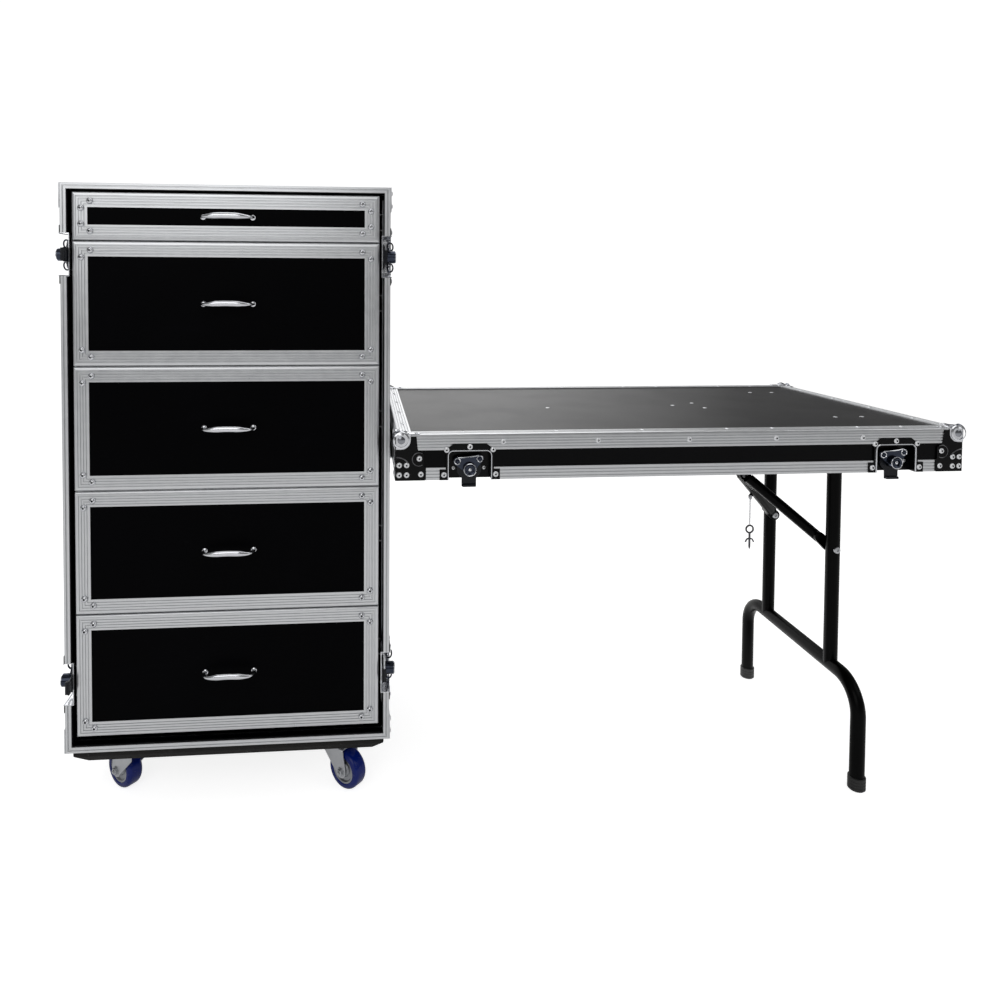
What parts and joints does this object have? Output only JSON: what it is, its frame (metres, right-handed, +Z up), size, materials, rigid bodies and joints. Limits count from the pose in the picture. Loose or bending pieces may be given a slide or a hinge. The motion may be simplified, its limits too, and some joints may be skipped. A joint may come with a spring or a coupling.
{
  "type": "road case with drawers",
  "caption": "Wheeled road case with stacked slide-out drawers; its latched lid hangs on the side as a work table on one folding leg",
  "frame": {"origin": "middle of the bounding box at floor level", "axes": "+X from the case towards the outer end of the table, +Y towards the back of the case, +Z up"},
  "size_m": [1.673, 0.6876, 1.1845],
  "materials": {
    "laminate": "black phenolic laminate on plywood",
    "aluminium": "ribbed extrusion, satin",
    "chrome": "bright plated",
    "zinc": "zinc plated steel",
    "black_steel": "black powder coat",
    "board_paint": "plywood under black textured paint",
    "wheel_blue": "cast polyurethane tread and hub"
  },
  "bodies": {
    "case": {"case_left_panel": "laminate", "case_right_panel": "laminate", "case_bottom_panel": "laminate", "case_top_panel": "laminate", "case_back_panel": "laminate", "front_rim": "aluminium", "edge_angles": "aluminium", "dolly_board": "board_paint", "slide_rack": "zinc", "side_handle_dish_left": "black_steel", "side_handle_dish_right": "black_steel"},
    "fork_front_left": {"caster_fork_front_left": "zinc"},
    "wheel_front_left": {"caster_wheel_front_left": "wheel_blue"},
    "fork_front_right": {"caster_fork_front_right": "zinc"},
    "wheel_front_right": {"caster_wheel_front_right": "wheel_blue"},
    "fork_rear_left": {"caster_fork_rear_left": "zinc"},
    "wheel_rear_left": {"caster_wheel_rear_left": "wheel_blue"},
    "fork_rear_right": {"caster_fork_rear_right": "zinc"},
    "wheel_rear_right": {"caster_wheel_rear_right": "wheel_blue"},
    "drawer_1": {"drawer_1_box": "laminate", "drawer_1_frame": "aluminium", "drawer_1_handle": "chrome"},
    "drawer_2": {"drawer_2_box": "laminate", "drawer_2_frame": "aluminium", "drawer_2_handle": "chrome"},
    "drawer_3": {"drawer_3_box": "laminate", "drawer_3_frame": "aluminium", "drawer_3_handle": "chrome"},
    "drawer_4": {"drawer_4_box": "laminate", "drawer_4_frame": "aluminium", "drawer_4_handle": "chrome"},
    "drawer_5": {"drawer_5_box": "laminate", "drawer_5_frame": "aluminium", "drawer_5_handle": "chrome"},
    "grip_left": {"side_handle_grip_left": "black_steel"},
    "grip_right": {"side_handle_grip_right": "black_steel"},
    "wing_case_lower_left": {"latch_wing_case_lower_left": "chrome"},
    "hook_case_lower_left": {"latch_hook_case_lower_left": "black_steel"},
    "wing_case_lower_right": {"latch_wing_case_lower_right": "chrome"},
    "hook_case_lower_right": {"latch_hook_case_lower_right": "black_steel"},
    "wing_case_upper_left": {"latch_wing_case_upper_left": "chrome"},
    "hook_case_upper_left": {"latch_hook_case_upper_left": "black_steel"},
    "wing_case_upper_right": {"latch_wing_case_upper_right": "chrome"},
    "hook_case_upper_right": {"latch_hook_case_upper_right": "black_steel"},
    "wing_lid_near_inner": {"latch_wing_lid_near_inner": "chrome"},
    "hook_lid_near_inner": {"latch_hook_lid_near_inner": "black_steel"},
    "wing_lid_far_inner": {"latch_wing_lid_far_inner": "chrome"},
    "wing_lid_near_outer": {"latch_wing_lid_near_outer": "chrome"},
    "hook_lid_near_outer": {"latch_hook_lid_near_outer": "black_steel"},
    "wing_lid_far_outer": {"latch_wing_lid_far_outer": "chrome"},
    "table": {"lid_tray": "laminate", "lid_frame": "aluminium", "leg_block_near": "black_steel", "leg_block_far": "black_steel", "leg_brace_bracket": "black_steel"},
    "leg": {"leg_frame": "black_steel"},
    "brace_arms": {"leg_brace_arm_near": "black_steel", "leg_brace_arm_far": "black_steel"},
    "brace_link": {"leg_brace_link": "black_steel"},
    "lock_pin": {"lock_pin": "zinc"}
  },
  "joints": [
    {"name": "caster_swivel_front_left", "type": "hinge", "parent": "case", "child": "fork_front_left", "pos_m": [-0.72795, -0.14475, 0.08], "axis": [0, 0, 1], "continuous": true},
    {"name": "wheel_roll_front_left", "type": "hinge", "parent": "fork_front_left", "child": "wheel_front_left", "pos_m": [-0.75093, -0.12547, 0.0375], "axis": [-0.6428, -0.766, 0], "continuous": true},
    {"name": "caster_swivel_front_right", "type": "hinge", "parent": "case", "child": "fork_front_right", "pos_m": [-0.33195, -0.14475, 0.08], "axis": [0, 0, 1], "continuous": true},
    {"name": "wheel_roll_front_right", "type": "hinge", "parent": "fork_front_right", "child": "wheel_front_right", "pos_m": [-0.30966, -0.16482, 0.0375], "axis": [0.6691, 0.7431, 0], "continuous": true},
    {"name": "caster_swivel_rear_left", "type": "hinge", "parent": "case", "child": "fork_rear_left", "pos_m": [-0.72795, 0.26325, 0.08], "axis": [0, 0, 1], "continuous": true},
    {"name": "wheel_roll_rear_left", "type": "hinge", "parent": "fork_rear_left", "child": "wheel_rear_left", "pos_m": [-0.74203, 0.28974, 0.0375], "axis": [-0.8829, -0.4695, 0], "continuous": true},
    {"name": "caster_swivel_rear_right", "type": "hinge", "parent": "case", "child": "fork_rear_right", "pos_m": [-0.33195, 0.26325, 0.08], "axis": [0, 0, 1], "continuous": true},
    {"name": "wheel_roll_rear_right", "type": "hinge", "parent": "fork_rear_right", "child": "wheel_rear_right", "pos_m": [-0.32169, 0.29144, 0.0375], "axis": [-0.9397, 0.342, 0], "continuous": true},
    {"name": "drawer_1_slide", "type": "slide", "parent": "case", "child": "drawer_1", "axis": [0, -1, 0], "range_m": [0, 0.42]},
    {"name": "drawer_2_slide", "type": "slide", "parent": "case", "child": "drawer_2", "axis": [0, -1, 0], "range_m": [0, 0.42]},
    {"name": "drawer_3_slide", "type": "slide", "parent": "case", "child": "drawer_3", "axis": [0, -1, 0], "range_m": [0, 0.42]},
    {"name": "drawer_4_slide", "type": "slide", "parent": "case", "child": "drawer_4", "axis": [0, -1, 0], "range_m": [0, 0.42]},
    {"name": "drawer_5_slide", "type": "slide", "parent": "case", "child": "drawer_5", "axis": [0, -1, 0], "range_m": [0, 0.42]},
    {"name": "side_handle_left", "type": "hinge", "parent": "case", "child": "grip_left", "pos_m": [-0.82475, 0.05925, 0.549], "axis": [0, 1, 0], "range_deg": [0, 90], "stiffness_Nm_per_rad": 0.15, "springref_deg": -5.73},
    {"name": "side_handle_right", "type": "hinge", "parent": "case", "child": "grip_right", "pos_m": [-0.23515, 0.05925, 0.549], "axis": [0, -1, 0], "range_deg": [0, 90], "stiffness_Nm_per_rad": 0.15, "springref_deg": -5.73},
    {"name": "latch_turn_case_lower_left", "type": "hinge", "parent": "case", "child": "wing_case_lower_left", "pos_m": [-0.82995, -0.20275, 0.2545], "axis": [1, 0, 0], "range_deg": [0, 180]},
    {"name": "latch_hook_case_lower_left", "type": "slide", "parent": "case", "child": "hook_case_lower_left", "axis": [0, 1, 0], "range_m": [0, 0.0071]},
    {"name": "latch_turn_case_lower_right", "type": "hinge", "parent": "case", "child": "wing_case_lower_right", "pos_m": [-0.22995, -0.20275, 0.2545], "axis": [-1, 0, 0], "range_deg": [0, 180]},
    {"name": "latch_hook_case_lower_right", "type": "slide", "parent": "case", "child": "hook_case_lower_right", "axis": [0, 1, 0], "range_m": [0, 0.0071]},
    {"name": "latch_turn_case_upper_left", "type": "hinge", "parent": "case", "child": "wing_case_upper_left", "pos_m": [-0.82995, -0.20275, 1.0495], "axis": [1, 0, 0], "range_deg": [0, 180]},
    {"name": "latch_hook_case_upper_left", "type": "slide", "parent": "case", "child": "hook_case_upper_left", "axis": [0, 1, 0], "range_m": [0, 0.0071]},
    {"name": "latch_turn_case_upper_right", "type": "hinge", "parent": "case", "child": "wing_case_upper_right", "pos_m": [-0.22995, -0.20275, 1.0495], "axis": [-1, 0, 0], "range_deg": [0, 180]},
    {"name": "latch_hook_case_upper_right", "type": "slide", "parent": "case", "child": "hook_case_upper_right", "axis": [0, 1, 0], "range_m": [0, 0.0071]},
    {"name": "latch_turn_lid_near_inner", "type": "hinge", "parent": "table", "child": "wing_lid_near_inner", "pos_m": [-0.09345, -0.33875, 0.673], "axis": [0, 1, 0], "range_deg": [0, 180]},
    {"name": "latch_hook_lid_near_inner", "type": "slide", "parent": "table", "child": "hook_lid_near_inner", "axis": [0, 0, 1], "range_m": [0, 0.0071]},
    {"name": "latch_turn_lid_far_inner", "type": "hinge", "parent": "table", "child": "wing_lid_far_inner", "pos_m": [-0.09345, 0.26125, 0.673], "axis": [0, -1, 0], "range_deg": [0, 180]},
    {"name": "latch_turn_lid_near_outer", "type": "hinge", "parent": "table", "child": "wing_lid_near_outer", "pos_m": [0.70155, -0.33875, 0.673], "axis": [0, 1, 0], "range_deg": [0, 180]},
    {"name": "latch_hook_lid_near_outer", "type": "slide", "parent": "table", "child": "hook_lid_near_outer", "axis": [0, 0, 1], "range_m": [0, 0.0071]},
    {"name": "latch_turn_lid_far_outer", "type": "hinge", "parent": "table", "child": "wing_lid_far_outer", "pos_m": [0.70155, 0.26125, 0.673], "axis": [0, -1, 0], "range_deg": [0, 180]},
    {"name": "table_lift", "type": "slide", "parent": "case", "child": "table", "axis": [0, 0, 1], "range_m": [0, 0.25]},
    {"name": "leg_fold", "type": "hinge", "parent": "table", "child": "leg", "pos_m": [0.69905, -0.03875, 0.674], "axis": [0, 1, 0], "range_deg": [0, 90]},
    {"name": "brace_arm_pivot", "type": "hinge", "parent": "leg", "child": "brace_arms", "pos_m": [0.69905, -0.03875, 0.451], "axis": [0, -1, 0], "range_deg": [0, 132.3]},
    {"name": "brace_link_pivot", "type": "hinge", "parent": "table", "child": "brace_link", "pos_m": [0.44905, -0.03875, 0.686], "axis": [0, 1, 0], "range_deg": [0, 134.6]},
    {"name": "lock_pin_swing", "type": "hinge", "parent": "brace_arms", "child": "lock_pin", "pos_m": [0.61134, 0.01468, 0.51245], "axis": [0, 1, 0], "range_deg": [-42, 42]}
  ],
  "couplings": [
    {"joint": "latch_hook_case_lower_left", "follows": "latch_turn_case_lower_left", "m_per_rad": 0.002228},
    {"joint": "latch_hook_case_lower_right", "follows": "latch_turn_case_lower_right", "m_per_rad": 0.002228},
    {"joint": "latch_hook_case_upper_left", "follows": "latch_turn_case_upper_left", "m_per_rad": 0.002228},
    {"joint": "latch_hook_case_upper_right", "follows": "latch_turn_case_upper_right", "m_per_rad": 0.002228},
    {"joint": "latch_hook_lid_near_inner", "follows": "latch_turn_lid_near_inner", "m_per_rad": 0.002228},
    {"joint": "latch_hook_lid_near_outer", "follows": "latch_turn_lid_near_outer", "m_per_rad": 0.002228},
    {"joint": "brace_arm_pivot", "follows": "leg_fold", "ratio": 1.4642},
    {"joint": "brace_link_pivot", "follows": "leg_fold", "ratio": 1.4902}
  ]
}
